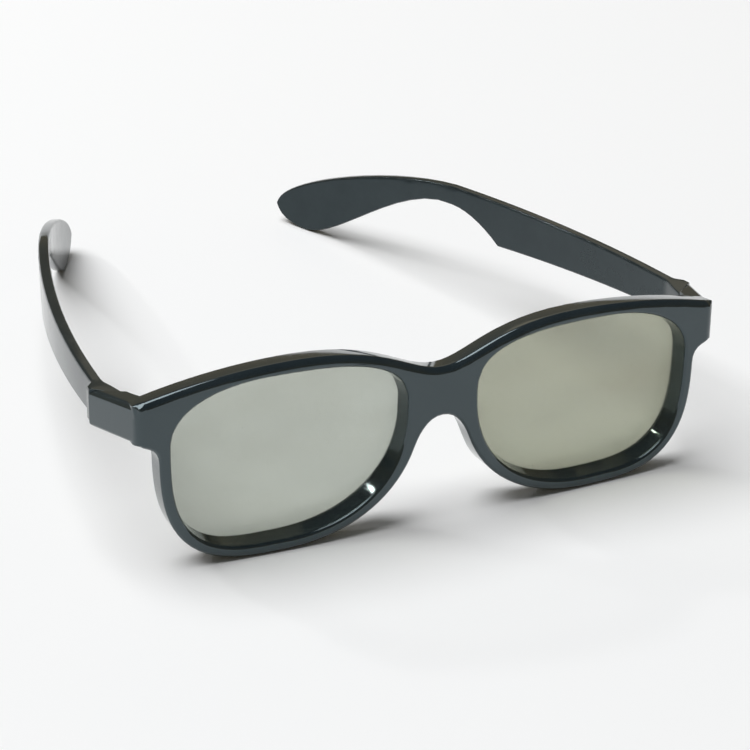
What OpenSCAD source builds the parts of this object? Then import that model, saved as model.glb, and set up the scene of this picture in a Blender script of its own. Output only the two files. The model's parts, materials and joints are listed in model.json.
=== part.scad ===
// Passive 3-D cinema glasses: one moulded front, two laminated film lenses, two folding temples.
// Design frame: X to the viewer's right, front faces -Y, temples run to +Y, Z up.
// Heights are measured from the bottom of the lens openings; stand() then sets the
// finished glasses down on the rims and the two temple tips.
// Left and right are the wearer's own, so the left side is at +X.

/* [Lens openings] */
// Width of each lens opening at the front face
lens_w = 56.6; // [50:0.1:62]
// Height of each lens opening at the front face
lens_h = 40.7; // [36:0.1:46]
// Distance between the two openings across the bridge
eye_gap = 17.2; // [14:0.1:22]
// Squareness of the upper outer corner of the opening (2 is an ellipse)
sq_up_out = 2.25; // [2:0.05:4]
// Squareness of the upper inner corner of the opening
sq_up_in = 2.85; // [2:0.05:4]
// Squareness of the lower inner corner of the opening
sq_dn_in = 2.25; // [2:0.05:4]
// Squareness of the lower outer corner of the opening
sq_dn_out = 3.15; // [2:0.05:4]

/* [Front moulding] */
// Width of the face between an opening and the outer end
end_w = 7.8; // [6.5:0.1:10]
// Radius of the front face seen from above
front_radius = 1280; // [800:10:4000]
// Depth of the lens seat behind the front face
lens_depth = 5; // [4:0.1:7]
// Width of the rim round the sides and bottom
rim_w = 2.4; // [1.8:0.05:3]
// Extra rim width beside the nose
nose_w = 0.7; // [0:0.05:1.5]
// Height of the brow above the openings
brow_rim = 2.5; // [2.4:0.1:4]
// Drop of the bridge below the top of the brow
brow_dip = 7.8; // [5:0.1:10]
// Height of the bridge at its middle
bridge_h = 11.7; // [9:0.1:14]
// Drop of the brow line from its peak to the outer corner
end_drop = 5; // [3:0.1:7]
// Rounding along the front top edge
top_round = 1.6; // [1:0.05:1.7]
// Rounding along the other front edges
edge_round = 0.8; // [0.4:0.05:0.9]
// Rounding at the front of each opening
eye_round = 0.85; // [0.4:0.05:1]
// Inward taper of the opening from front face to lens
eye_taper = 0.66; // [0.5:0.02:1]
// Height of the moulded nose pads behind the rear face
pad_h = 2.4; // [1:0.1:4]

/* [Film lenses] */
// Thickness of the quarter-wave retarder film
retarder_t = 0.3; // [0.2:0.01:0.5]
// Thickness of the linear polariser film
polariser_t = 0.5; // [0.3:0.01:0.8]
// Thickness of the adhesive between the two films
bond_t = 0.03; // [0.02:0.01:0.06]
// Depth of the lens groove outside the front opening edge
groove_d = 0.6; // [0.5:0.01:0.8]
// Clearance between the film edge and the groove
film_edge_gap = 0.1; // [0.05:0.01:0.2]
// Clearance behind the films in the groove
film_back_gap = 0.04; // [0.02:0.01:0.1]
// Thickness of the rear lip that holds the films
lip_t = 0.9; // [0.6:0.05:1.5]

/* [Hinge ends] */
// Height of the end piece at the front corner
end_h = 9.1; // [8:0.1:11]
// Length of the end piece behind the front face at its outer side
end_len = 19.6; // [18.5:0.1:21]
// Outward flare of the end piece in degrees
end_flare = 15.4; // [10:0.1:17]
// Fall of the end piece from front to rear
end_fall = 1.5; // [0.5:0.1:2.5]
// Distance of the hinge axis behind the front face
pin_back = 10.8; // [10.4:0.1:11.4]
// Distance of the hinge axis inside the outer corner
pin_in = 1.5; // [1.2:0.05:1.8]
// Radius of the hinge pin
pin_r = 0.8; // [0.6:0.05:1]
// Radial running clearance of the pin in the temple
pin_gap = 0.05; // [0.02:0.01:0.1]
// Radius of the temple tongue round the pin
tongue_r = 2.2; // [2:0.05:2.4]
// Height of the temple tongue
tongue_h = 4.2; // [3.4:0.1:4.6]
// Clearance of the tongue above and below in its slot
tongue_gap = 0.08; // [0.04:0.01:0.2]
// Clearance round the tongue in its slot
slot_gap = 0.25; // [0.15:0.05:0.4]
// Gap between end piece and temple at the hinge joint
joint_gap = 0.25; // [0.15:0.01:0.4]

/* [Temples] */
// Length of a temple from the end piece to its tip, along the glasses
temple_len = 146.7; // [135:0.5:165]
// Radius of the temple's inward bow seen from above
bow_radius = 340; // [300:5:450]
// Inward angle of the temple where it leaves the hinge
toe_in = 3.7; // [1:0.1:6]
// Thickness of the temple
temple_t = 2.8; // [2.4:0.1:3.4]
// Height of the temple at the hinge
temple_front_h = 8.2; // [7:0.1:8.6]
// Height of the temple at its deepest point before the neck
temple_deep_h = 12.4; // [10:0.1:14]
// Height of the temple at the neck
neck_h = 5.4; // [4.5:0.1:7]
// Drop of the ear hook from the temple's top line to its lowest point
hook_drop = 27.4; // [22:0.1:32]
// Rounding of the temple's long edges
temple_edge = 0.7; // [0.3:0.05:1]

/* [Output] */
// Which node to draw

/* [Hidden] */
$fn = 48;
overlap = 0.6;

// Lens opening: four superellipse quarters about one centre
open_in = eye_gap/2;
open_out = open_in + lens_w;
half_w = open_out + end_w;
a_in = 0.555*lens_w;
a_out = lens_w - a_in;
b_dn = 0.666*lens_h;
b_up = lens_h - b_dn;
cx = open_in + a_in;
cz = b_dn;
function unit(v) = v/norm(v);
function mix(a, b, t) = a + (b - a)*t;
function clamp01(t) = max(0, min(1, t));
function bez(p, t) = let (u = 1 - t) u*u*u*p[0] + 3*u*u*t*p[1] + 3*u*t*t*p[2] + t*t*t*p[3];
function eye_n(c, s) = s >= 0 ? (c >= 0 ? sq_up_out : sq_up_in) : (c >= 0 ? sq_dn_out : sq_dn_in);
function eye_r(q) = let (c = cos(q), s = sin(q), n = eye_n(c, s), a = c >= 0 ? a_out : a_in,
    b = s >= 0 ? b_up : b_dn) 1/pow(pow(abs(c)/a, n) + pow(abs(s)/b, n), 1/n);
function eye_pt(q) = [cx, cz] + eye_r(q)*[cos(q), sin(q)];
function eye_nrm(q) = let (d = eye_pt(q + 0.4) - eye_pt(q - 0.4)) unit([d[1], -d[0]]);
function polar(p) = let (q = atan2(p[1] - cz, p[0] - cx)) q > 171 ? q - 360 : q;

// Depths: curved front face, flat tilted lens seat, rear face
bend = 1/(2*front_radius);
wrap = bend*(open_in + open_out);
film_t = retarder_t + bond_t + polariser_t;
function front_y(x) = bend*x*x;
function seat_y(x) = lens_depth - bend*(open_in*open_out + lens_w*lens_w/6) + wrap*x;
function rear_y(x) = seat_y(x) + film_t + film_back_gap + lip_t;

// Outer outline of the left half, clockwise from the bridge top
brow_x = open_in + 0.466*lens_w;
brow_z = lens_h + brow_rim;
bridge_z = brow_z - brow_dip;
arch_z = bridge_z - bridge_h;
corner_z = brow_z - end_drop;
end_z = corner_z - end_h;
rim_q0 = -7;
rim_q1 = -163;
function rim_out(q) = eye_pt(q) + (rim_w + nose_w*pow(clamp01((-110 - q)/53), 2))*eye_nrm(q);
brow_a = [[0, bridge_z], [0.229*brow_x, bridge_z], [0.386*brow_x, brow_z], [brow_x, brow_z]];
rim_0 = rim_out(rim_q0);
rim_t0 = unit(rim_0 - rim_out(rim_q0 - 2));
notch = [[half_w, end_z], [half_w - 2.6, end_z - 1.1], rim_0 + 4*rim_t0, rim_0];
rim_1 = rim_out(rim_q1);
rim_t1 = unit(rim_1 - rim_out(rim_q1 + 2));
arch = [rim_1, rim_1 + 3.8*rim_t1, [0.5*rim_1[0], arch_z], [0, arch_z]];
brow_n = 13;
side_n = 3;
notch_n = 7;
rim_n = 44;
arch_n = 7;
seam_n = 3;
outer = concat(
    [for (i = [0:brow_n]) bez(brow_a, i/brow_n)],
    [for (i = [1:brow_n]) let (t = i/brow_n) [mix(brow_x, half_w, t), brow_z - end_drop*t*t]],
    [for (i = [1:side_n]) [half_w, corner_z - end_h*i/side_n]],
    [for (i = [1:notch_n - 1]) bez(notch, i/notch_n)],
    [for (i = [0:rim_n]) rim_out(mix(rim_q0, rim_q1, i/rim_n))],
    [for (i = [1:arch_n]) bez(arch, i/arch_n)],
    [for (i = [1:seam_n]) [0, mix(arch_z + top_round, bridge_z - top_round, i/(seam_n + 1))]]);
stations = len(outer);
top_end = 2*brow_n;
rim_start = top_end + side_n + notch_n;
rim_end = rim_start + rim_n;
seam_start = rim_end + arch_n;
angles = [for (i = [0:stations - 1])
    i >= rim_start && i <= rim_end ? mix(rim_q0, rim_q1, (i - rim_start)/rim_n) : polar(outer[i])];

function is_seam(i) = i == 0 || i >= seam_start;
function out_nrm(i) = i == 0 ? [0, 1] : i == seam_start ? [0, -1] : i > seam_start ? [0, 0]
    : let (d = outer[i - 1] - outer[i + 1]) unit([d[1], -d[0]]);
function round_at(i) = i <= top_end ? top_round : edge_round;
function draft_at(i) = i <= top_end ? 0.7 : 0.2;
function pad_at(i) = let (t = clamp01((i - rim_start)/rim_n))
    i > rim_end ? 0 : pow(sin(180*clamp01((t - 0.72)/0.27)), 2);

// One section of the rim: rounded opening edge, wall, groove, lip, rear face, outer wall, rounded edge
eye_arc = [0, 30, 60, 90];
edge_arc = [0, 22, 68, 90];
function section(i) = let (q = angles[i], p = eye_pt(q), n = eye_nrm(q), o = outer[i], m = out_nrm(i),
    r = round_at(i), d = draft_at(i), s = pad_at(i),
    p2 = p - eye_taper*n, p3 = p + groove_d*n, p6 = p + 0.15*n,
    p7 = o - (d + 0.45 - 0.3*s)*m, p8 = o - (d - 0.3*s)*m,
    back = seat_y(p[0]) + film_t + film_back_gap)
    concat(
        [for (a = eye_arc) let (c = p + (0.71 - sin(a))*eye_round*n)
            [c[0], front_y(c[0]) + (1 - cos(a))*eye_round, c[1]]],
        [[p2[0], seat_y(p2[0]), p2[1]], [p3[0], seat_y(p3[0]), p3[1]], [p3[0], back, p3[1]],
         [p[0], back, p[1]], [p6[0], rear_y(p6[0]), p6[1]],
         [p7[0], rear_y(p7[0]) + pad_h*s, p7[1]], [p8[0], rear_y(p8[0]) - 0.45 + pad_h*s, p8[1]]],
        [for (a = edge_arc) let (c = o - (1 - cos(a))*r*m)
            [c[0], front_y(c[0]) + (1 - sin(a))*r, c[1]]]);
sec_n = len(section(0));
sec_rear = len(eye_arc) + 5;
half_pts = [for (i = [0:stations - 1]) each section(i)];
shell_pts = concat(half_pts, [for (p = half_pts) [-p[0], p[1], p[2]]]);
function at(side, i, j) = let (k = i % stations, m = j % sec_n)
    k*sec_n + m + (side > 0 || (is_seam(k) && m >= sec_rear) ? 0 : stations*sec_n);
function quad(a, b, c, d) = [[a, b, c], [a, c, d]];
shell_faces = [for (side = [1, -1], i = [0:stations - 1], j = [0:sec_n - 1])
    if (!(is_seam(i) && is_seam((i + 1) % stations) && j >= sec_rear && j < sec_n - 1))
    each let (a = at(side, i, j), b = at(side, i + 1, j), c = at(side, i + 1, j + 1),
        d = at(side, i, j + 1)) side > 0 ? quad(a, b, c, d) : quad(a, d, c, b)];

// Loft through rings of equal length, closed at both ends
function loft_faces(n, m) = concat(
    [for (i = [0:n - 2], j = [0:m - 1]) each let (k = (j + 1) % m)
        quad(i*m + j, i*m + k, (i + 1)*m + k, (i + 1)*m + j)],
    [for (j = [1:m - 2]) [0, j + 1, j]],
    [for (j = [1:m - 2]) let (e = (n - 1)*m) [e, e + j, e + j + 1]]);
module loft(rings) {
    polyhedron([for (r = rings) each r], loft_faces(len(rings), len(rings[0])), convexity = 6);
}

// End piece in plan: outer wall a to b, slanted joint face b to c, inner wall c to d
flare = tan(end_flare);
pin_x = half_w - pin_in;
end_y0 = front_y(half_w) + 2.3;
function end_x(y) = half_w + flare*(y - end_y0);
function end_top(y) = corner_z - 0.1 - end_fall*(y - end_y0)/(end_len - end_y0);
function end_low(y) = end_z + 0.1 - end_fall*(y - end_y0)/(end_len - end_y0);
end_a = [end_x(end_y0 - overlap), end_y0 - overlap];
end_b = [end_x(end_len), end_len];
end_c = [pin_x - 1.1, pin_back + 3.1];
end_d = [pin_x - 2.9, rear_y(pin_x) - 2];
end_nrm = unit([-1, flare]);
face_dir = unit(end_b - end_c);
face_nrm = [-face_dir[1], face_dir[0]];
function end_ring(low, cut, z) = [for (p = [end_a, end_d, end_c, end_b])
    let (q = p == end_a ? p + cut*end_nrm
        : p == end_b ? p - cut/abs(face_dir*end_nrm)*face_dir : p)
    [q[0], q[1], (low ? end_low(p[1]) : end_top(p[1])) + z]];
module end_block() {
    loft(concat(
        [for (a = edge_arc) end_ring(true, (1 - sin(a))*edge_round, (1 - cos(a))*edge_round)],
        [for (a = edge_arc) end_ring(false, (1 - cos(a))*top_round, -(1 - sin(a))*top_round)]));
}

// Hinge: tongue and slot levels, pin and bores
tongue_z = (end_top(pin_back) + end_low(pin_back) - tongue_h)/2;
slot_r = tongue_r + slot_gap;
pin_z0 = end_low(pin_back + pin_r) + 0.3;
pin_z1 = end_top(pin_back) - 1;
module slot() {
    translate([0, 0, tongue_z - tongue_gap]) linear_extrude(tongue_h + 2*tongue_gap) {
        translate([pin_x, pin_back]) circle(slot_r);
        polygon([[pin_x, pin_back], [pin_x + slot_r, pin_back],
                 [pin_x + slot_r + 6*flare, pin_back + 6], [pin_x + 2, pin_back + 10],
                 [pin_x - 9, pin_back + 6], [pin_x - 9, pin_back - slot_r], [pin_x, pin_back - slot_r]]);
    }
}
module pin_bore() {
    translate([pin_x, pin_back, pin_z0 - 2]) cylinder(r = pin_r, h = pin_z1 - pin_z0 + 2);
}
module mirrored(side) {
    if (side > 0) children();
    else mirror([1, 0, 0]) children();
}

// Temple side profile: top and lower edge as pairs of points, from hinge to tip
face_b = end_b + joint_gap*face_nrm;
face_c = end_c + joint_gap*face_nrm;
tip_y = end_len + 0.2 + temple_len;
arm_y0 = end_len + 5;
top_z0 = end_top(end_len) - 0.2;
neck_y = end_len + 0.596*temple_len;
kink_y = end_len + 0.478*temple_len;
neck_z = top_z0 - 0.8;
tip_low = top_z0 - hook_drop;
tip_z = tip_low + 6.2;
low_y = tip_y - 9.5;
function arm_top(y) = mix(top_z0, neck_z, clamp01((y - end_len)/(neck_y - end_len)));
function arm_low(y) = y <= kink_y
    ? arm_top(y) - mix(temple_front_h, temple_deep_h, clamp01((y - end_len)/(kink_y - end_len)))
    : neck_z - neck_h - (arm_top(kink_y) - temple_deep_h - neck_z + neck_h)
        *-pow((neck_y - y)/(neck_y - kink_y), 1.8);
hook_len = tip_y - neck_y;
hook_top = [[neck_y, neck_z], [neck_y + 0.39*hook_len, neck_z - 1.2], [tip_y, mix(tip_z, neck_z, 0.36)],
            [tip_y, tip_z]];
hook_low = [[neck_y, neck_z - neck_h], [neck_y + 0.31*hook_len, neck_z - neck_h + 1.7],
            [neck_y + 0.67*hook_len, tip_low], [low_y, tip_low]];
function hook_edge(t) = t < 0.8 ? bez(hook_low, t/0.8)
    : let (a = 90*(t - 0.8)/0.2) [mix(low_y, tip_y, sin(a)), mix(tip_z, tip_low, cos(a))];
arm_n = 11;
kink_n = 7;
hook_n = 22;
pairs = concat(
    [for (i = [0:arm_n]) let (y = mix(arm_y0, kink_y, i/arm_n)) [[y, arm_top(y)], [y, arm_low(y)]]],
    [for (i = [1:kink_n]) let (y = mix(kink_y, neck_y, i/kink_n)) [[y, arm_top(y)], [y, arm_low(y)]]],
    [for (i = [1:hook_n]) let (t = 0.985*sin(90*i/hook_n)) [bez(hook_top, t), hook_edge(t)]]);

// Temple in plan: an arc bowed inwards; rings are rounded rectangles
arm_x0 = end_x(end_len) - 2 - temple_t/2;
bow_y = arm_y0 - bow_radius*sin(toe_in);
function bow_a(y) = asin((y - bow_y)/bow_radius);
function bow_pt(y, u) = let (a = bow_a(y))
    [arm_x0 - bow_radius*(cos(toe_in) - cos(a)) + u*cos(a), y + u*sin(a)];
function round_rect(t, h) = let (e = min(temple_edge, 0.4*h, 0.4*t), f = 0.3*e)
    [[0, e], [f, f], [e, 0], [t - e, 0], [t - f, f], [t, e], [t, h - e], [t - f, h - f], [t - e, h],
     [e, h], [f, h - f], [0, h - e]];
function arm_ring(pair) = let (h = norm(pair[0] - pair[1]))
    [for (c = round_rect(temple_t, h))
        let (m = mix(pair[1], pair[0], c[1]/h), p = bow_pt(m[0], c[0] - temple_t/2)) [p[0], p[1], m[1]]];
function root_ring(inner, outer_pt, low, top) = let (t = norm(outer_pt - inner), h = top - low)
    [for (c = round_rect(t, h)) let (p = mix(inner, outer_pt, c[0]/t)) [p[0], p[1], low + c[1]]];
arm_low0 = arm_low(end_len);
root = [root_ring(face_c + [0.15, 0.1], face_b, arm_low0, top_z0 + 0.1),
        root_ring(bow_pt(end_len + 0.6, -temple_t/2 - 1), face_b + [-0.1, 1.9], arm_low0, top_z0 + 0.05),
        root_ring(bow_pt(arm_y0 - 2, -temple_t/2 - 0.2), bow_pt(arm_y0 - 1.2, temple_t/2 + 0.2),
            arm_low0, top_z0)];
temple_rings = concat(root, [for (p = pairs) arm_ring(p)]);
module tongue() {
    translate([0, 0, tongue_z]) linear_extrude(tongue_h) {
        translate([pin_x, pin_back]) circle(tongue_r);
        polygon([[pin_x - tongue_r, pin_back], mix(face_c, face_b, 0.06),
                 mix(face_c, face_b, 0.1) + overlap*face_nrm, mix(face_c, face_b, 0.5) + overlap*face_nrm,
                 mix(face_c, face_b, 0.5), [pin_x + tongue_r, pin_back]]);
    }
}
module temple() {
    difference() {
        union() {
            loft(temple_rings);
            tongue();
        }
        translate([pin_x, pin_back, tongue_z - 1]) cylinder(r = pin_r + pin_gap, h = tongue_h + 2);
    }
}

// Standing position: rims and temple tips share the floor
rim_pts = [for (i = [rim_start:rim_end], j = [sec_rear:sec_n - 1]) section(i)[j]];
tip_pts = [for (r = [len(root) + arm_n + kink_n + 1:len(temple_rings) - 1]) each temple_rings[r]];
tilt = max([for (r = rim_pts) min([for (t = tip_pts) atan2(t[2] - r[2], t[1] - r[1])])]);
function down(p) = p[2]*cos(tilt) - p[1]*sin(tilt);
function back_y(p) = p[1]*cos(tilt) + p[2]*sin(tilt);
lift = -min([for (r = rim_pts) down(r)]);
mid_y = (min([for (p = half_pts) back_y(p)]) + max([for (p = tip_pts) back_y(p)]))/2;
module stand() {
    translate([0, -mid_y, lift]) rotate([-tilt, 0, 0]) children();
}

// Lens films: the opening outline let into the groove, on the tilted seat
wrap_a = atan(wrap);
film_pts = [for (q = angles) let (p = eye_pt(q) + (groove_d - film_edge_gap)*eye_nrm(q))
    [p[0]/cos(wrap_a), p[1]]];
module film(depth, t) {
    translate([0, seat_y(0), 0]) rotate([0, 0, wrap_a]) translate([0, depth + t, 0])
        rotate([90, 0, 0]) linear_extrude(t) polygon(film_pts);
}

module front_frame() {
    color("#2b2f30") stand() difference() {
        union() {
            polyhedron(shell_pts, shell_faces, convexity = 8);
            for (side = [1, -1]) mirrored(side) end_block();
        }
        for (side = [1, -1]) mirrored(side) {
            slot();
            pin_bore();
        }
    }
}
module retarder_left() { color("#b9bdb2") stand() film(0, retarder_t); }
module retarder_right() { color("#b9bdb2") stand() mirrored(-1) film(0, retarder_t); }
module polariser_left() { color("#8f9489") stand() film(retarder_t + bond_t, polariser_t); }
module polariser_right() { color("#8f9489") stand() mirrored(-1) film(retarder_t + bond_t, polariser_t); }
module temple_left() { color("#2b2f30") stand() temple(); }
module temple_right() { color("#2b2f30") stand() mirrored(-1) temple(); }
module hinge_pin() {
    translate([pin_x, pin_back, pin_z0]) cylinder(r = pin_r, h = pin_z1 - pin_z0);
}
module hinge_pin_left() { color("#9a9c9e") stand() hinge_pin(); }
module hinge_pin_right() { color("#9a9c9e") stand() mirrored(-1) hinge_pin(); }

front_frame();
retarder_left();
retarder_right();
polariser_left();
polariser_right();
temple_left();
temple_right();
hinge_pin_left();
hinge_pin_right();
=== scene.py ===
"""Dressed scene of a pair of passive cinema 3-D glasses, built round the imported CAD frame.

The three mouldings are merged copies of their CAD solids with softened edges and smooth shading.
The front's two outer corners also get a wider round than the solid has.
The lens films and hinge pins keep their CAD meshes and get finishes of their own.
Left and right are the wearer's own, and the left side is at +X.
"""

import json
import logging
import math
from dataclasses import dataclass
from enum import Enum
from typing import Any, Mapping, Optional, Union

import bmesh
import bpy
from mathutils import Matrix, Vector


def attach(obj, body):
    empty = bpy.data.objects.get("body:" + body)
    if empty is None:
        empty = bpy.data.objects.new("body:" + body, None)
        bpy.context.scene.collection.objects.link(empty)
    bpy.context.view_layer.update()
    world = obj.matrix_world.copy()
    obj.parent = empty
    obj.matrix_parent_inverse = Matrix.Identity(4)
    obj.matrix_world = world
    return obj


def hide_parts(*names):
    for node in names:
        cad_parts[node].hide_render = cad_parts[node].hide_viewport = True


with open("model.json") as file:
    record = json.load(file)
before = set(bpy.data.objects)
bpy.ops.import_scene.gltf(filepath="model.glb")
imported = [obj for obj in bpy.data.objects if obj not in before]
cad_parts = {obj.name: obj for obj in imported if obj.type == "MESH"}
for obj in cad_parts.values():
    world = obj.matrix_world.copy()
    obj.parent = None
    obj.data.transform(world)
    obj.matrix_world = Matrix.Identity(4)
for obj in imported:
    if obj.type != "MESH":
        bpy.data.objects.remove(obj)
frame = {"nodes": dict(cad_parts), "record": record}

logging.basicConfig(level=logging.INFO, format="%(message)s")
LOG = logging.getLogger("glasses")

MM = 0.001
EDGE_MASK = "softened_edge"
LAMP_TARGET = Vector((0.0, -0.07, 0.02))

Colour = tuple[float, float, float]
Triple = tuple[float, float, float]


class Side(Enum):
    """The wearer's side, with its sign along X."""

    LEFT = 1
    RIGHT = -1

    @property
    def word(self) -> str:
        """The side as it stands in node names."""
        return self.name.lower()


class Value:
    """A node's output socket that takes part in Python expressions."""

    def __init__(self, board: "NodeBoard", socket: bpy.types.NodeSocket) -> None:
        """Keeps the board and the socket."""
        self.board = board
        self.socket = socket

    def _math(self, operation: str, first: Any, second: Any) -> "Value":
        """Adds one Math node.

        Args:
            operation: The Math node's operation.
            first: A value or number for the first socket.
            second: A value or number for the second socket.

        Returns:
            The node's result.
        """
        return self.board.node("ShaderNodeMath", {"operation": operation}, {0: first, 1: second})

    def __add__(self, other: Any) -> "Value":
        """Adds a value or number."""
        return self._math("ADD", self, other)

    __radd__ = __add__

    def __mul__(self, other: Any) -> "Value":
        """Multiplies by a value or number."""
        return self._math("MULTIPLY", self, other)

    __rmul__ = __mul__

    def __sub__(self, other: Any) -> "Value":
        """Subtracts a value or number."""
        return self._math("SUBTRACT", self, other)

    def __rsub__(self, other: Any) -> "Value":
        """Subtracts this value from a number."""
        return self._math("SUBTRACT", other, self)

    def __lt__(self, other: Any) -> "Value":
        """Gives 1 where this value is below the other."""
        return self._math("LESS_THAN", self, other)

    def __gt__(self, other: Any) -> "Value":
        """Gives 1 where this value is above the other, the reflected form of below."""
        return self._math("GREATER_THAN", self, other)


class NodeBoard:
    """The node tree of one material or world."""

    def __init__(self, tree: bpy.types.NodeTree) -> None:
        """Clears the tree and keeps it."""
        self.tree = tree
        tree.nodes.clear()

    def node(
        self,
        kind: str,
        settings: Optional[Mapping[str, Any]] = None,
        sockets: Optional[Mapping[Union[str, int], Any]] = None,
        output: Union[str, int] = 0,
    ) -> Value:
        """Adds a node of any type.

        Args:
            kind: The node's type.
            settings: Its own settings, set first; stops gives a ramp's positions and greys.
            sockets: A link or a constant for each input, by name or place.
            output: The output socket that the result stands for.

        Returns:
            The chosen output.
        """
        made = self.tree.nodes.new(kind)
        for name, setting in (settings or {}).items():
            if name == "stops":
                self._set_stops(made.color_ramp, setting)
            else:
                setattr(made, name, setting)
        for key, given in (sockets or {}).items():
            if isinstance(given, Value):
                self.tree.links.new(given.socket, made.inputs[key])
            else:
                made.inputs[key].default_value = given
        return Value(self, made.outputs[output] if len(made.outputs) else made.inputs[0])

    @staticmethod
    def _set_stops(ramp: bpy.types.ColorRamp, stops: tuple[tuple[float, float], ...]) -> None:
        """Gives a ramp grey stops.

        Args:
            ramp: The ramp of a Color Ramp node.
            stops: Position and grey of each stop.
        """
        while len(ramp.elements) < len(stops):
            ramp.elements.new(1.0)
        for element, (place, grey) in zip(ramp.elements, stops):
            element.position = place
            element.color = (grey, grey, grey, 1.0)

    def blend(self, factor: Any, first: Any, second: Any) -> Value:
        """Mixes two colours.

        Args:
            factor: How much of the second colour shows.
            first: The first colour or link.
            second: The second colour or link.

        Returns:
            The mixed colour.
        """
        return self.node(
            "ShaderNodeMix",
            {"data_type": "RGBA"},
            {0: factor, 6: opaque(first), 7: opaque(second)},
            output=2,
        )

    def noise(self, place: Value, scale: float, detail: float = 2.0, rough: float = 0.5) -> Value:
        """Adds a noise pattern.

        Args:
            place: The coordinates it reads.
            scale: Its features per metre.
            detail: Its octaves.
            rough: The weight of the finer octaves.

        Returns:
            The noise, from 0 to 1.
        """
        return self.node(
            "ShaderNodeTexNoise",
            None,
            {"Vector": place, "Scale": scale, "Detail": detail, "Roughness": rough},
        )

    def ramp(self, given: Value, *stops: tuple[float, float]) -> Value:
        """Maps a value through grey stops.

        Args:
            given: The value to map.
            stops: Position and result of each stop.

        Returns:
            The mapped value.
        """
        return self.node("ShaderNodeValToRGB", {"stops": stops}, {"Fac": given})

    def specks(self, place: Value, scale: float, size: float, share: float) -> Value:
        """Scatters small round specks.

        Args:
            place: The coordinates they lie in.
            scale: Cells per metre.
            size: Radius of a speck as a share of a cell.
            share: Share of the cells that hold one.

        Returns:
            1 on a speck and 0 elsewhere.
        """
        cell = {"Vector": place, "Scale": scale}
        near = self.node("ShaderNodeTexVoronoi", {"feature": "F1"}, cell) < size
        lot = self.node("ShaderNodeTexVoronoi", {"feature": "F1"}, cell, output="Color")
        drawn = self.node("ShaderNodeSeparateColor", None, {"Color": lot}) < share
        return near * drawn


def opaque(colour: Any) -> Any:
    """Gives a plain colour an alpha of 1, and leaves a link as it is."""
    return colour if isinstance(colour, Value) else (*colour, 1.0)


def new_material(name: str) -> tuple[bpy.types.Material, NodeBoard]:
    """Makes an empty material.

    Args:
        name: The finish's name.

    Returns:
        The material and its board.
    """
    made = bpy.data.materials.new(name)
    made.use_nodes = True
    return made, NodeBoard(made.node_tree)


@dataclass(frozen=True)
class MouldedPlastic:
    """Gloss black moulding with faint clouding, handling marks, dust, and edge wear that is also a
    painted highlight along the softened edges.
    """

    name: str
    colour: Colour = (0.013, 0.019, 0.0215)
    clouded: Colour = (0.021, 0.029, 0.032)
    sheen_tint: Colour = (0.74, 0.93, 1.0)
    # Lighter grey of the edge wear, which is also a painted highlight on the softened edges.
    worn_edge_and_highlight: Colour = (0.07, 0.075, 0.075)
    dust: Colour = (0.42, 0.42, 0.40)
    gloss_roughness: float = 0.07
    smudge_roughness: float = 0.09
    wear_roughness: float = 0.2
    dust_roughness: float = 0.4
    lacquer_roughness: float = 0.05
    index: float = 1.70
    lacquer: float = 0.25
    cloud_scale: float = 85.0
    smudge_scale: float = 140.0
    grain_scale: float = 2600.0
    wear_and_highlight_scale: float = 320.0
    peel_scale: float = 700.0
    dust_scale: float = 420.0
    speck_size: float = 0.055
    speck_share: float = 0.10
    grain_share: float = 0.25
    wear_and_highlight_cover: float = 0.5
    dust_cover: float = 0.7
    dust_height: float = 0.6
    peel_height: float = 0.012 * MM
    peel_strength: float = 0.35

    def material(self) -> bpy.types.Material:
        """Makes the finish.

        Returns:
            The material, patterned in Object coordinates.
        """
        made, board = new_material(self.name)
        place = board.node("ShaderNodeTexCoord", output="Object")
        cloud = board.ramp(board.noise(place, self.cloud_scale, 4.0, 0.6), (0.35, 0.0), (0.72, 1.0))
        smudge = board.ramp(board.noise(place, self.smudge_scale, 3.0, 0.62), (0.42, 0.0), (0.75, 1.0))
        grain = board.noise(place, self.grain_scale, 2.0, 0.6)
        dust = board.specks(place, self.dust_scale, self.speck_size, self.speck_share)
        # Edge wear on the softened edges, lighter than the plastic, which is also a painted highlight
        # along those edges.
        edge = board.node("ShaderNodeAttribute", {"attribute_name": EDGE_MASK}, output="Fac")
        rubbed_and_highlit = board.ramp(board.noise(place, self.wear_and_highlight_scale, 3.0), (0.40, 0.0), (0.70, 1.0))
        edge_wear_and_highlight = edge * rubbed_and_highlit * self.wear_and_highlight_cover
        mottle = cloud * (1 - self.grain_share) + grain * self.grain_share
        base = board.blend(mottle, self.colour, self.clouded)
        base = board.blend(edge_wear_and_highlight, base, self.worn_edge_and_highlight)
        base = board.blend(dust * self.dust_cover, base, self.dust)
        marks = smudge * self.smudge_roughness + edge_wear_and_highlight * self.wear_roughness
        rough = marks + dust * self.dust_roughness + self.gloss_roughness
        peel = board.noise(place, self.peel_scale, 1.0) + dust * self.dust_height
        bump = board.node(
            "ShaderNodeBump",
            None,
            {"Strength": self.peel_strength, "Distance": self.peel_height, "Height": peel},
        )
        shader = board.node(
            "ShaderNodeBsdfPrincipled",
            None,
            {
                "Base Color": base,
                "Roughness": rough,
                "IOR": self.index,
                "Specular Tint": opaque(self.sheen_tint),
                "Normal": bump,
                "Coat Weight": self.lacquer,
                "Coat Roughness": self.lacquer_roughness,
            },
        )
        board.node("ShaderNodeOutputMaterial", None, {"Surface": shader})
        return made


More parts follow.
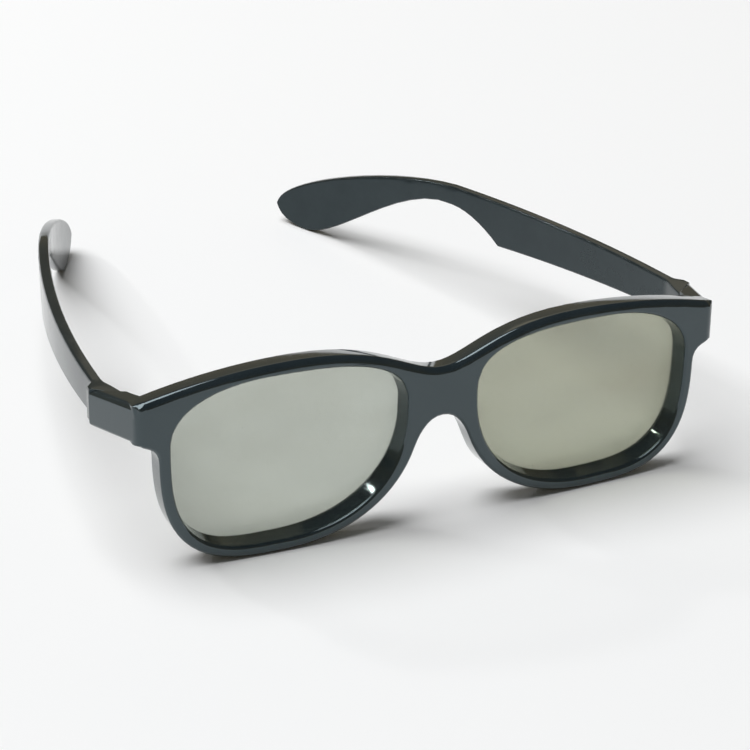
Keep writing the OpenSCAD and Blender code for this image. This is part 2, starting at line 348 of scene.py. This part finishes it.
@dataclass(frozen=True)
class OpticalFilm:
    """Clear or tinted optical film with faint flow streaks."""

    name: str
    tint: Colour
    warm: Colour
    cool: Colour
    passed: Colour
    opacity: float
    roughness: float
    dust: Colour = (0.75, 0.75, 0.70)
    index: float = 1.48
    stretch: Triple = (0.55, 1.0, 1.5)
    flow_scale: float = 62.0
    patch_scale: float = 34.0
    dust_scale: float = 300.0
    speck_size: float = 0.05
    speck_share: float = 0.12
    flow_cover: float = 0.7
    patch_cover: float = 0.6
    dust_cover: float = 0.6
    flow_veil: float = 0.03
    dust_veil: float = 0.2
    patch_roughness: float = 0.08
    dust_roughness: float = 0.2

    def material(self) -> bpy.types.Material:
        """Makes the finish.

        Returns:
            The material, which lets tinted light through each face.
        """
        made, board = new_material(self.name)
        place = board.node("ShaderNodeTexCoord", output="Object")
        drawn_out = board.node("ShaderNodeMapping", None, {"Vector": place, "Scale": self.stretch})
        flow = board.ramp(board.noise(drawn_out, self.flow_scale), (0.30, 0.0), (0.72, 1.0))
        patch = board.ramp(board.noise(drawn_out, self.patch_scale), (0.30, 0.0), (0.70, 1.0))
        dust = board.specks(place, self.dust_scale, self.speck_size, self.speck_share)
        base = board.blend(flow * self.flow_cover, self.tint, self.warm)
        base = board.blend(patch * self.patch_cover, base, self.cool)
        base = board.blend(dust * self.dust_cover, base, self.dust)
        veil = flow * self.flow_veil + dust * self.dust_veil + self.opacity
        rough = patch * self.patch_roughness + dust * self.dust_roughness + self.roughness
        clear = board.node("ShaderNodeBsdfTransparent", None, {"Color": opaque(self.passed)})
        skin = board.node(
            "ShaderNodeBsdfPrincipled",
            None,
            {"Base Color": base, "Roughness": rough, "IOR": self.index},
        )
        shader = board.node("ShaderNodeMixShader", None, {0: veil, 1: clear, 2: skin})
        board.node("ShaderNodeOutputMaterial", None, {"Surface": shader})
        return made


@dataclass(frozen=True)
class DrawnSteel:
    """Plain drawn wire with lengthwise die marks."""

    name: str
    colour: Colour = (0.52, 0.53, 0.54)
    oxide: Colour = (0.33, 0.33, 0.33)
    stretch: Triple = (1.0, 1.0, 0.06)
    mark_scale: float = 5200.0
    stain_scale: float = 900.0
    stain_cover: float = 0.6
    roughness: float = 0.22
    mark_roughness: float = 0.2

    def material(self) -> bpy.types.Material:
        """Makes the finish.

        Returns:
            The material, patterned along the pin.
        """
        made, board = new_material(self.name)
        place = board.node("ShaderNodeTexCoord", output="Object")
        along = board.node("ShaderNodeMapping", None, {"Vector": place, "Scale": self.stretch})
        marks = board.noise(along, self.mark_scale)
        stain = board.ramp(board.noise(place, self.stain_scale, 3.0), (0.45, 0.0), (0.7, 1.0))
        shader = board.node(
            "ShaderNodeBsdfPrincipled",
            None,
            {
                "Base Color": board.blend(stain * self.stain_cover, self.colour, self.oxide),
                "Roughness": marks * self.mark_roughness + self.roughness,
                "Metallic": 1.0,
            },
        )
        board.node("ShaderNodeOutputMaterial", None, {"Surface": shader})
        return made


@dataclass(frozen=True)
class PaleFloor:
    """Plain pale floor under the glasses."""

    name: str = "pale_floor"
    colour: Colour = (0.95, 0.95, 0.95)
    roughness: float = 0.9
    shine: float = 0.1

    def material(self) -> bpy.types.Material:
        """Makes the finish.

        Returns:
            The material, of one colour.
        """
        made, board = new_material(self.name)
        shader = board.node(
            "ShaderNodeBsdfPrincipled",
            None,
            {
                "Base Color": opaque(self.colour),
                "Roughness": self.roughness,
                "Specular IOR Level": self.shine,
            },
        )
        board.node("ShaderNodeOutputMaterial", None, {"Surface": shader})
        return made


@dataclass
class Moulding:
    """A moulded piece: a merged copy of one CAD solid with softened edges.

    A sharp edge is softened where every edge at its two ends is longer than room times the round.
    """

    node: str
    piece: str
    body: str
    slot: str
    edge_round: float = 0.18 * MM
    merge: float = 0.002 * MM
    flat_angle: float = math.radians(0.4)
    sharp_angle: float = math.radians(40)
    smooth_angle: float = math.radians(45)
    room: float = 2.2

    def build(self) -> bpy.types.Object:
        """Makes the piece from its CAD solid.

        Returns:
            The piece, riding on its body in place of the node.
        """
        shape = bmesh.new()
        shape.from_mesh(frame["nodes"][self.node].data)
        bmesh.ops.remove_doubles(shape, verts=shape.verts, dist=self.merge)
        bmesh.ops.dissolve_limit(
            shape, angle_limit=self.flat_angle, verts=shape.verts, edges=shape.edges
        )
        self._soften(shape)
        made = bpy.data.objects.new(self.piece, self._to_mesh(shape))
        bpy.context.scene.collection.objects.link(made)
        tidy = made.modifiers.new("even_normals", "WEIGHTED_NORMAL")
        tidy.keep_sharp = True
        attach(made, self.body)
        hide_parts(self.node)
        return made

    def _soften(self, shape: bmesh.types.BMesh) -> None:
        """Rounds the sharp edges that have room, and marks the new faces.

        Args:
            shape: The merged solid.
        """
        mask = shape.faces.layers.float.new(EDGE_MASK)
        least = self.room * self.edge_round
        free = {
            corner.index
            for corner in shape.verts
            if all(edge.calc_length() > least for edge in corner.link_edges)
        }
        sharp = [
            edge
            for edge in shape.edges
            if edge.is_manifold
            and edge.calc_face_angle() > self.sharp_angle
            and all(corner.index in free for corner in edge.verts)
        ]
        rounded = bmesh.ops.bevel(
            shape,
            geom=sharp,
            offset=self.edge_round,
            offset_type="OFFSET",
            segments=2,
            profile=0.5,
            affect="EDGES",
            clamp_overlap=False,
            material=-1,
        )
        for face in rounded["faces"]:
            face[mask] = 1.0

    def _to_mesh(self, shape: bmesh.types.BMesh) -> bpy.types.Mesh:
        """Writes the shape to a new mesh, smooth but for its sharp edges.

        Args:
            shape: The finished shape, which is freed.

        Returns:
            The mesh.
        """
        for face in shape.faces:
            face.smooth = True
        for edge in shape.edges:
            edge.smooth = edge.is_manifold and edge.calc_face_angle() < self.smooth_angle
        mesh = bpy.data.meshes.new(self.piece)
        shape.to_mesh(mesh)
        shape.free()
        if "custom_normal" in mesh.attributes:
            mesh.attributes.remove(mesh.attributes["custom_normal"])
        return mesh


@dataclass(frozen=True)
class CornerPlan:
    """An outer front corner in plan, in distances outward from the hinge axis and behind it.

    The profile is that of the CAD solid, from the front face round to the flared side.
    """

    centre: Vector
    radius: float
    profile: tuple[Vector, ...]
    side_turn: float

    def turn(self, point: Vector) -> float:
        """Gives a point's turn about the centre, from straight ahead to outward."""
        return math.atan2(point.x - self.centre.x, self.centre.y - point.y)

    def drawn_in(self, turn: float) -> float:
        """Compares the wider round with the CAD profile along one spoke.

        Args:
            turn: The spoke's turn from straight ahead.

        Returns:
            The round's reach as a share of the profile's.
        """
        way = Vector((math.sin(turn), -math.cos(turn)))
        runs = list(zip(self.profile, self.profile[1:]))
        start, end = next((run for run in runs if turn <= self.turn(run[1])), runs[-1])
        along = end - start
        normal = Vector((along.y, -along.x)).normalized()
        reach = normal.dot(start - self.centre) / normal.dot(way)
        past = max(0.0, turn - self.side_turn)
        return self.radius / math.cos(past) / reach


@dataclass
class FrontShell(Moulding):
    """The front moulding, its two outer front corners given a wider round.

    From face_radius on, the sizes are those of the CAD solid.
    """

    corner_radius: float = 2.6 * MM
    turn_slack: float = 1e-4
    columns: int = 9
    face_radius: float = 1280 * MM
    hinge_back: float = 10.8 * MM
    hinge_in: float = 1.5 * MM
    solid_round: float = 0.8 * MM
    solid_turns: tuple[float, ...] = (90.0, 68.0, 22.0, 0.0)
    side_draft: float = math.radians(2.22)
    flare: float = math.radians(15.4)
    flare_back: float = 2.3 * MM

    def _soften(self, shape: bmesh.types.BMesh) -> None:
        """Softens the edges, then rounds the corner in front of each hinge.

        Args:
            shape: The merged solid.
        """
        super()._soften(shape)
        for joint in frame["record"]["behaviour"]["joints"]:
            self._round_corner(shape, Vector(joint["pos_m"]), Vector(joint["axis"]))

    def _round_corner(self, shape: bmesh.types.BMesh, hinge: Vector, axis: Vector) -> None:
        """Cuts a corner into upright columns and draws them in to the round.

        Args:
            shape: The softened solid.
            hinge: A point on the hinge axis behind the corner.
            axis: The direction of that axis.
        """
        plan = self._plan(abs(hinge.x))
        out = Vector((math.copysign(1.0, hinge.x), 0.0, 0.0))
        ahead = Vector((0.0, -axis.z, axis.y))
        centre = hinge + plan.centre.x * out - plan.centre.y * ahead
        first, last = plan.turn(plan.profile[0]), plan.turn(plan.profile[-1])

        def turn_at(corner: bmesh.types.BMVert) -> float:
            """Gives a vertex's turn about the centre, from straight ahead to outward."""
            return math.atan2((corner.co - centre).dot(out), (corner.co - centre).dot(ahead))

        def near(corner: bmesh.types.BMVert) -> bool:
            """Tells whether a vertex is in the corner."""
            return first - self.turn_slack < turn_at(corner) < last + self.turn_slack

        for column in range(self.columns + 1):
            turn = first + (last - first) * column / self.columns
            faces = [face for face in shape.faces if any(near(corner) for corner in face.verts)]
            edges = {edge for face in faces for edge in face.edges}
            corners = {corner for face in faces for corner in face.verts}
            bmesh.ops.bisect_plane(
                shape,
                geom=[*corners, *edges, *faces],
                dist=self.merge,
                plane_co=centre,
                plane_no=math.cos(turn) * out - math.sin(turn) * ahead,
            )
        for corner in shape.verts:
            if near(corner):
                spoke = corner.co - centre
                flat = spoke - spoke.dot(axis) * axis
                corner.co += (plan.drawn_in(turn_at(corner)) - 1.0) * flat

    def _plan(self, hinge_out: float) -> CornerPlan:
        """Works out the corner from the sizes of the solid.

        Args:
            hinge_out: The hinge axis's distance from the middle of the glasses.

        Returns:
            The corner, with a centre that makes the round touch the face and the flared side.
        """

        def face(outward: float) -> float:
            """Gives the place of the curved face behind the axis."""
            return (hinge_out + outward) ** 2 / (2 * self.face_radius) - self.hinge_back

        rounding = []
        for turn in map(math.radians, self.solid_turns):
            outward = self.hinge_in - (1 - math.cos(turn)) * self.solid_round
            rounding.append(Vector((outward, face(outward) + (1 - math.sin(turn)) * self.solid_round)))
        edge = Vector((self.hinge_in, face(self.hinge_in)))
        side = edge + Vector((0.0, self.flare_back))
        lean = math.atan((hinge_out + self.hinge_in) / self.face_radius)
        into_face = Vector((-math.sin(lean), math.cos(lean)))
        into_side = Vector((-math.cos(self.flare), math.sin(self.flare)))
        radius = self.corner_radius
        depths = Vector((into_face.dot(edge) + radius, into_side.dot(side) + radius))
        centre = Matrix((into_face, into_side)).inverted() @ depths
        draft, spread = math.tan(self.side_draft), math.tan(self.flare)
        meet_back = (draft * rounding[-1].y + spread * side.y) / (draft + spread)
        meet = Vector((self.hinge_in - draft * (meet_back - rounding[-1].y), meet_back))
        profile = (centre - radius * into_face, *rounding, meet)
        return CornerPlan(centre, radius, profile, math.pi / 2 - self.flare)


@dataclass
class Front:
    """The front of the glasses: moulding, lens films and hinge pins."""

    plastic: MouldedPlastic
    retarder: OpticalFilm
    polarisers: Mapping[Side, OpticalFilm]
    steel: DrawnSteel

    def build(self) -> None:
        """Builds the moulding and dresses everything on the front body."""
        shell = FrontShell("front_frame", "front_moulding", "front", "frame_plastic")
        dress(shell.build(), self.plastic.material())
        clear = self.retarder.material()
        wire = self.steel.material()
        for side in Side:
            dress(frame["nodes"][f"retarder_{side.word}"], clear)
            dress(frame["nodes"][f"polariser_{side.word}"], self.polarisers[side].material())
            dress(frame["nodes"][f"hinge_pin_{side.word}"], wire)


@dataclass
class Temple:
    """One folding temple."""

    side: Side
    plastic: bpy.types.Material
    edge_round: float = 0.12 * MM

    def build(self) -> None:
        """Builds the temple and dresses it."""
        name = f"temple_{self.side.word}"
        arm = Moulding(name, f"{name}_moulding", name, "temple_plastic", edge_round=self.edge_round)
        dress(arm.build(), self.plastic)


def dress(piece: bpy.types.Object, finish: bpy.types.Material) -> None:
    """Gives a piece its only finish and reports it.

    Args:
        piece: A new piece or a CAD node's object.
        finish: The finish.
    """
    if piece.material_slots:
        for slot in piece.material_slots:
            slot.material = finish
    else:
        piece.data.materials.append(finish)
    LOG.info("%s: %d faces, %s", piece.name, len(piece.data.polygons), finish.name)


@dataclass(frozen=True)
class Lamp:
    """A soft oval lamp that points at the front of the glasses.

    Its sides are in metres and its power is in watts.
    """

    name: str
    place: Triple
    sides: tuple[float, float]
    power: float
    colour: Colour

    def hang(self) -> None:
        """Hangs the lamp in its place."""
        light = bpy.data.lights.new(self.name, "AREA")
        light.shape = "ELLIPSE"
        light.size, light.size_y = self.sides
        light.energy = self.power
        light.color = self.colour
        hung = bpy.data.objects.new(self.name, light)
        hung.location = self.place
        hung.rotation_euler = (LAMP_TARGET - Vector(self.place)).to_track_quat("-Z", "Y").to_euler()
        bpy.context.scene.collection.objects.link(hung)


@dataclass
class Studio:
    """Pale floor, soft lamps, world and the camera of the photograph."""

    floor_radius: float = 5.0
    floor_sides: int = 64
    azimuth: float = math.radians(-26.926)
    elevation: float = math.radians(27.882)
    roll: float = math.radians(2.862)
    distance: float = 0.5715
    aim: Triple = (-0.00069, -0.04833, 0.0200)
    focal_px: float = 2402.0
    frame_px: float = 750.0
    sensor_mm: float = 36.0
    horizon: Colour = (0.17, 0.145, 0.095)
    zenith: Colour = (0.055, 0.068, 0.085)
    lamps: tuple[Lamp, ...] = (
        Lamp("key", (-1.92, 1.07, 5.57), sides=(5.60, 5.60), power=395.0, colour=(0.99, 0.995, 1.0)),
        Lamp("rear", (0.56, 1.02, 0.69), sides=(0.80, 0.70), power=0.5, colour=(1.0, 0.86, 0.62)),
        Lamp("glint", (-0.58, 0.68, 0.57), sides=(0.06, 0.06), power=0.9, colour=(1.0, 1.0, 1.0)),
    )

    def build(self) -> None:
        """Builds the whole stage."""
        self._floor()
        self._world()
        for lamp in self.lamps:
            lamp.hang()
        self._camera()
        bpy.context.scene.view_settings.view_transform = "Standard"

    def _floor(self) -> None:
        """Lays the floor under the rims and temple tips."""
        shape = bmesh.new()
        bmesh.ops.create_circle(
            shape, cap_ends=True, segments=self.floor_sides, radius=self.floor_radius
        )
        mesh = bpy.data.meshes.new("floor")
        shape.to_mesh(mesh)
        shape.free()
        floor = bpy.data.objects.new("floor", mesh)
        bpy.context.scene.collection.objects.link(floor)
        floor.data.materials.append(PaleFloor().material())

    def _world(self) -> None:
        """Gives the room its dim light, warm at the horizon and cool overhead."""
        world = bpy.data.worlds.new("room")
        world.use_nodes = True
        board = NodeBoard(world.node_tree)
        way = board.node("ShaderNodeTexCoord", output="Generated")
        height = board.node("ShaderNodeSeparateXYZ", None, {"Vector": way}, output="Z")
        rise = board.ramp(height, (0.25, 0.0), (0.75, 1.0))
        light = board.node(
            "ShaderNodeBackground", None, {"Color": board.blend(rise, self.horizon, self.zenith)}
        )
        board.node("ShaderNodeOutputWorld", None, {"Surface": light})
        bpy.context.scene.world = world

    def _camera(self) -> None:
        """Sets the camera at the photograph's view."""
        turn, rise = self.azimuth, self.elevation
        back = Vector(
            (math.sin(turn) * math.cos(rise), -math.cos(turn) * math.cos(rise), math.sin(rise))
        )
        right = Vector((0.0, 0.0, 1.0)).cross(back).normalized()
        up = back.cross(right)
        axes = Matrix((right, up, back)).transposed() @ Matrix.Rotation(self.roll, 3, "Z")
        data = bpy.data.cameras.new("photo_view")
        data.sensor_width = self.sensor_mm
        data.lens = self.focal_px / self.frame_px * self.sensor_mm
        camera = bpy.data.objects.new("photo_view", data)
        camera.matrix_world = Matrix.LocRotScale(
            Vector(self.aim) + self.distance * back, axes.to_quaternion(), None
        )
        bpy.context.scene.collection.objects.link(camera)
        bpy.context.scene.camera = camera


def main() -> None:
    """Builds the stage and every piece."""
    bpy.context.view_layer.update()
    Studio().build()
    retarder = OpticalFilm(
        "clear_film",
        tint=(0.55, 0.57, 0.53),
        warm=(0.58, 0.57, 0.50),
        cool=(0.52, 0.56, 0.56),
        passed=(1.0, 1.0, 1.0),
        opacity=0.02,
        roughness=0.08,
    )
    # One grey film in lit and shaded copies: the left polariser is made denser and yellower as painted
    # shade, the right one lighter as painted light.
    polarisers = {
        Side.LEFT: OpticalFilm(
            "grey_film_painted_shade",
            tint=(0.36, 0.34, 0.30),
            warm=(0.39, 0.34, 0.26),
            cool=(0.32, 0.35, 0.35),
            passed=(0.93, 0.95, 0.84),
            opacity=0.39,
            roughness=0.16,
        ),
        Side.RIGHT: OpticalFilm(
            "grey_film_painted_light",
            tint=(0.32, 0.34, 0.29),
            warm=(0.35, 0.34, 0.25),
            cool=(0.28, 0.34, 0.34),
            passed=(0.95, 0.975, 0.93),
            opacity=0.33,
            roughness=0.16,
        ),
    }
    Front(MouldedPlastic("frame_gloss"), retarder, polarisers, DrawnSteel("pin_wire")).build()
    arm_gloss = MouldedPlastic("temple_gloss", index=1.46, lacquer=0.0).material()
    for side in Side:
        Temple(side, arm_gloss).build()


if __name__ == "__main__":
    main()
